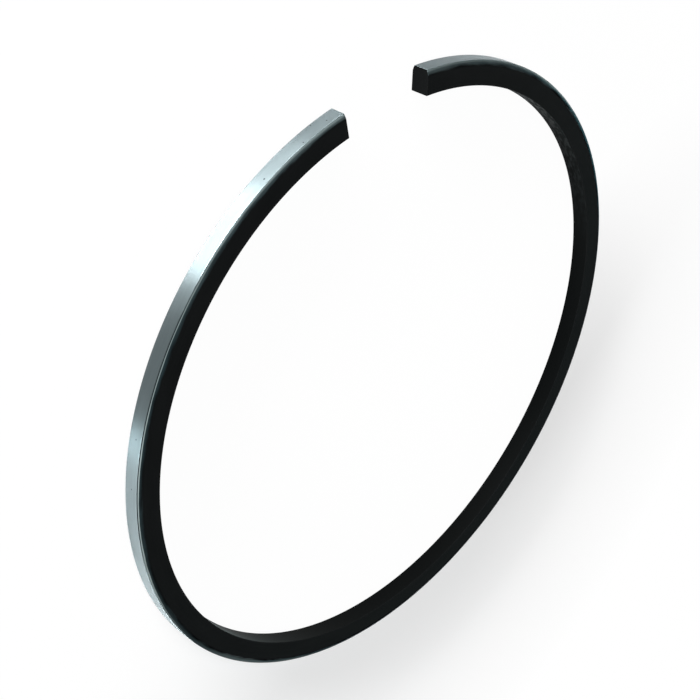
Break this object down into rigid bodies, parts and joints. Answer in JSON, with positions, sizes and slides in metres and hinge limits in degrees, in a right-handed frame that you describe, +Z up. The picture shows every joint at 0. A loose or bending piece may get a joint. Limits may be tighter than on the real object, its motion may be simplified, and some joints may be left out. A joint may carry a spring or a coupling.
{
  "type": "piston ring",
  "caption": "Split spring ring with bevelled outer edges, shown free with its joint open; closed into a bore it seals a piston against the cylinder wall.",
  "frame": {"origin": "middle of the free ring's outline, on the lower side face that it lies on", "axes": "+Z up, along the cylinder's axis, between the side faces; +Y towards the open joint; +X across the ring's widest reach"},
  "size_m": [0.087, 0.0844, 0.0025],
  "materials": {
    "piston_ring": "black phosphate, with a lapped grey running face"
  },
  "bodies": {
    "root": {"piston_ring": "piston_ring"}
  },
  "joints": []
}
